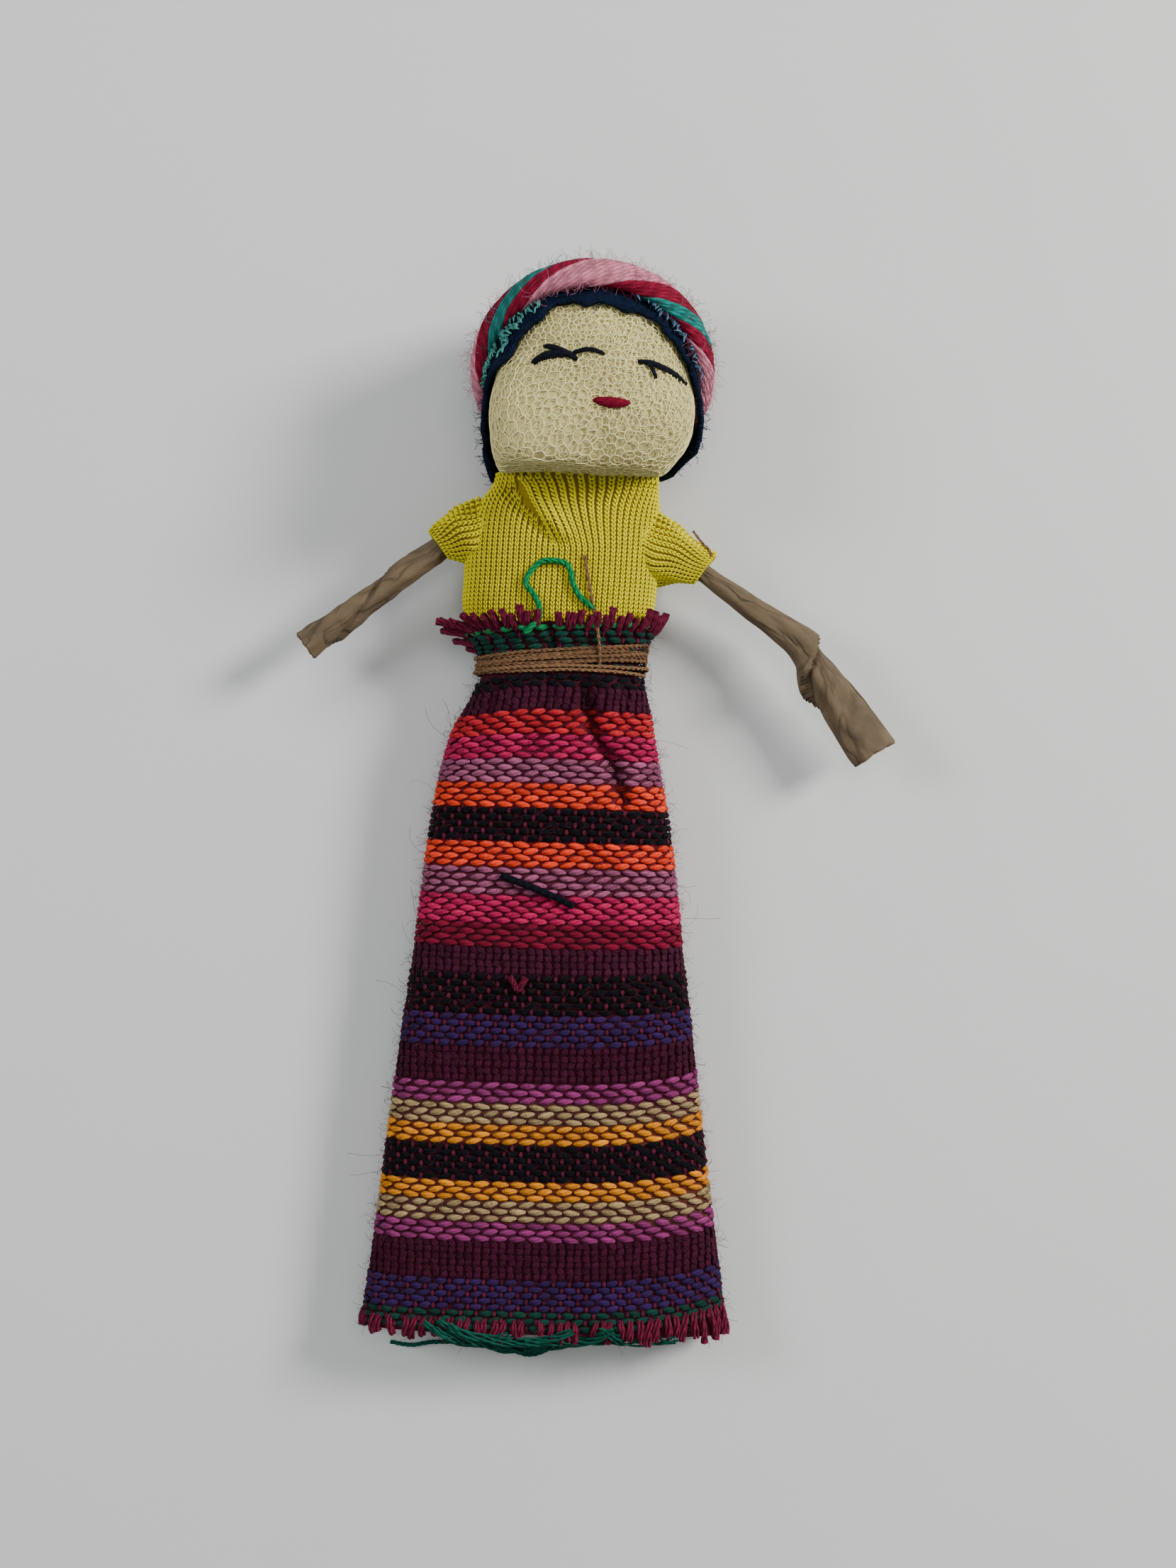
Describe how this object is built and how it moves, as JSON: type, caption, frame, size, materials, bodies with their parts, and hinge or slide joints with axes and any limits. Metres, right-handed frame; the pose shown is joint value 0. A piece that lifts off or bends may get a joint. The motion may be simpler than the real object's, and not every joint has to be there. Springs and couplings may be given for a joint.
{
  "type": "cloth stick doll",
  "caption": "Cloth doll on a craft stick, with a stuffed net head, twisted yarn headband, jersey top, paper-wrapped wire arms and a long striped woven skirt",
  "frame": {"origin": "on the flat back of the skirt, where it lies on the table, on the skirt's centre line and half way between the hem and the top of the headband", "axes": "+Y runs along the doll to the top of its head, +X to the doll's own left hand, +Z out of its face; the doll lies on its back"},
  "size_m": [0.0833, 0.1521, 0.0271],
  "materials": {
    "birch_wood": "bare sanded birch",
    "dark_wire": "thin dark annealed wire",
    "cream_stuffing": "soft cotton filling",
    "yellow_jersey": "fine yellow cotton jersey knit",
    "striped_cloth": "hand-woven cotton in weft stripes of black, plum, red, magenta, lilac, orange, violet, pink, beige and gold",
    "cream_net": "cream open knit net over filling",
    "navy_hair_cloth": "fuzzy navy woven cloth with teal flecks",
    "pink_yarn": "matt twisted cotton yarn",
    "red_yarn": "matt twisted cotton yarn",
    "teal_yarn": "matt twisted cotton yarn",
    "kraft_paper": "brown kraft paper twisted round wire",
    "tan_thread": "tan polished thread",
    "green_yarn": "bright green plied yarn",
    "dark_green_yarn": "deep green plied yarn",
    "black_thread": "black plied thread",
    "crimson_thread": "crimson embroidery thread"
  },
  "bodies": {
    "root": {"body_stick": "birch_wood", "torso_padding": "cream_stuffing", "shoulder_wire": "dark_wire", "wire_binding": "tan_thread", "shirt": "yellow_jersey", "skirt": "striped_cloth", "waist_thread": "tan_thread", "waist_tail": "tan_thread", "green_loop_thread": "green_yarn", "skirt_stitch": "black_thread", "hem_loose_thread": "dark_green_yarn"},
    "neck": {"neck_gather": "cream_net", "neck_thread": "tan_thread"},
    "head": {"head_stuffing": "cream_stuffing", "face_net": "cream_net", "hair_cap": "navy_hair_cloth", "headband_pink": "pink_yarn", "headband_red": "red_yarn", "headband_teal": "teal_yarn", "right_eye_stitch": "black_thread", "right_lash_stitch": "black_thread", "left_eye_stitch": "black_thread", "left_lash_stitch": "black_thread", "mouth_stitch": "crimson_thread"},
    "right_shoulder": {"right_sleeve": "yellow_jersey", "right_shoulder_wire": "dark_wire"},
    "right_upper_arm": {"right_upper_arm_paper": "kraft_paper", "right_upper_arm_wire": "dark_wire"},
    "right_forearm": {"right_forearm_paper": "kraft_paper", "right_forearm_wire": "dark_wire"},
    "left_shoulder": {"left_sleeve": "yellow_jersey", "left_shoulder_wire": "dark_wire", "left_cuff_tail": "tan_thread"},
    "left_upper_arm": {"left_upper_arm_paper": "kraft_paper", "left_upper_arm_wire": "dark_wire"},
    "left_forearm": {"left_forearm_paper": "kraft_paper", "left_forearm_wire": "dark_wire"}
  },
  "joints": [
    {"name": "neck_turn", "type": "hinge", "parent": "root", "child": "neck", "pos_m": [0.003, 0.043, 0.009], "axis": [0, 1, 0], "range_deg": [-35, 35]},
    {"name": "neck_nod", "type": "hinge", "parent": "neck", "child": "head", "pos_m": [0.003, 0.0456, 0.009], "axis": [1, 0, 0], "range_deg": [-12, 15]},
    {"name": "right_arm_raise", "type": "hinge", "parent": "root", "child": "right_shoulder", "pos_m": [-0.0142, 0.0387, 0.00745], "axis": [0, 0, -1], "range_deg": [-16, 65]},
    {"name": "right_arm_swing", "type": "hinge", "parent": "right_shoulder", "child": "right_upper_arm", "pos_m": [-0.01834, 0.03556, 0.00745], "axis": [-0.6046, 0.7965, 0], "range_deg": [-45, 45]},
    {"name": "right_elbow_bend", "type": "hinge", "parent": "right_upper_arm", "child": "right_forearm", "pos_m": [-0.02607, 0.02969, 0.00745], "axis": [0, 0, -1], "range_deg": [-45, 60]},
    {"name": "left_arm_raise", "type": "hinge", "parent": "root", "child": "left_shoulder", "pos_m": [0.0142, 0.0376, 0.00745], "axis": [0, 0, 1], "range_deg": [-16, 65]},
    {"name": "left_arm_swing", "type": "hinge", "parent": "left_shoulder", "child": "left_upper_arm", "pos_m": [0.01959, 0.0338, 0.00745], "axis": [-0.5764, -0.8171, 0], "range_deg": [-45, 45]},
    {"name": "left_elbow_bend", "type": "hinge", "parent": "left_upper_arm", "child": "left_forearm", "pos_m": [0.0325, 0.02469, 0.00745], "axis": [0, 0, 1], "range_deg": [-30, 60]}
  ]
}
